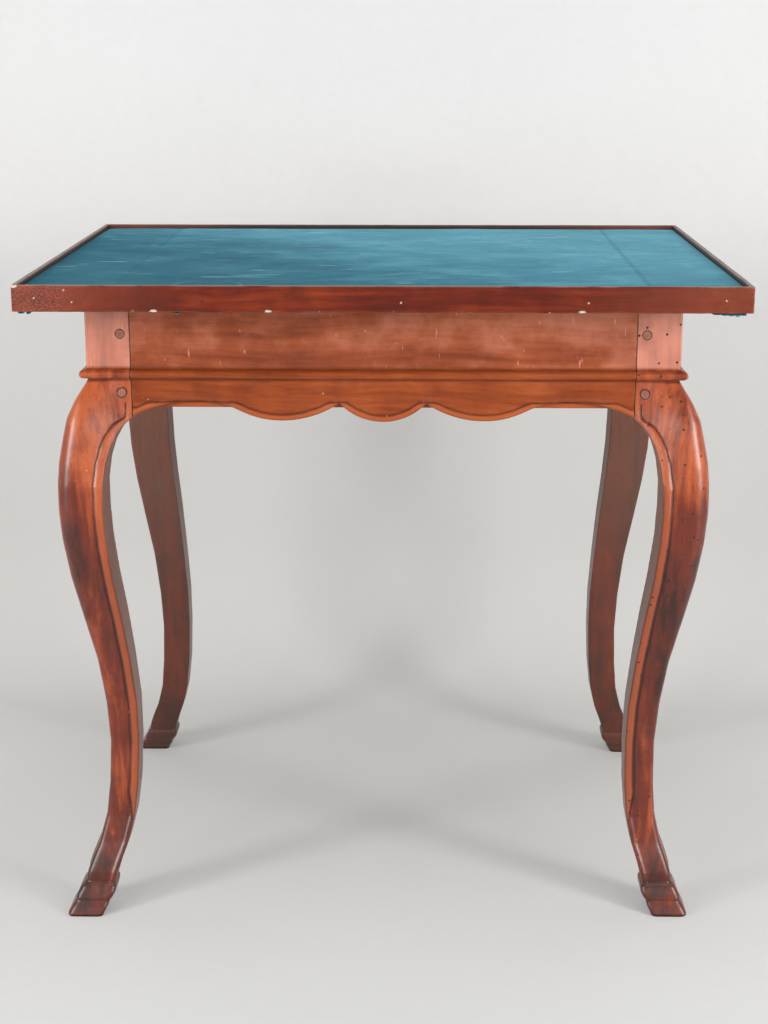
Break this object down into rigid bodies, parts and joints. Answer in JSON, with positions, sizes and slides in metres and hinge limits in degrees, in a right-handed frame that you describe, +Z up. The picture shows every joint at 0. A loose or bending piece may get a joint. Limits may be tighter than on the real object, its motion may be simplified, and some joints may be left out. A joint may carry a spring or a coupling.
{
  "type": "card table",
  "caption": "Rectangular card table with a rimmed, cloth-lined tray top that lifts off a pegged frame with scalloped aprons and cabriole legs on hoof feet.",
  "frame": {"origin": "on the floor under the middle of the table", "axes": "+X to the right along the long front, +Y from the front to the back, +Z up"},
  "size_m": [0.79, 0.61, 0.75],
  "materials": {
    "leg_wood": "waxed reddish brown",
    "apron_wood": "waxed reddish brown",
    "peg_wood": "waxed dark brown",
    "board_wood": "bare",
    "rail_wood": "waxed reddish brown",
    "brad_iron": "dull dark iron",
    "baize": "worn teal nap",
    "lining_cloth": "teal cloth"
  },
  "bodies": {
    "frame": {"leg_front_left": "leg_wood", "leg_front_right": "leg_wood", "leg_back_left": "leg_wood", "leg_back_right": "leg_wood", "apron_front": "apron_wood", "apron_back": "apron_wood", "apron_left": "apron_wood", "apron_right": "apron_wood", "pegs_front": "peg_wood", "pegs_back": "peg_wood", "pegs_left": "peg_wood", "pegs_right": "peg_wood", "locating_dowels": "peg_wood"},
    "tray": {"tray_board_front": "board_wood", "tray_board_back": "board_wood", "tray_end_left": "board_wood", "tray_end_right": "board_wood", "tray_rail_front": "rail_wood", "tray_rail_back": "rail_wood", "tray_rail_left": "rail_wood", "tray_rail_right": "rail_wood", "brads_front": "brad_iron", "brads_back": "brad_iron", "brads_left": "brad_iron", "brads_right": "brad_iron", "baize_top": "baize", "baize_underside": "lining_cloth"}
  },
  "joints": [
    {"name": "tray_lift", "type": "slide", "parent": "frame", "child": "tray", "axis": [0, 0, 1], "range_m": [0, 0.12]}
  ]
}
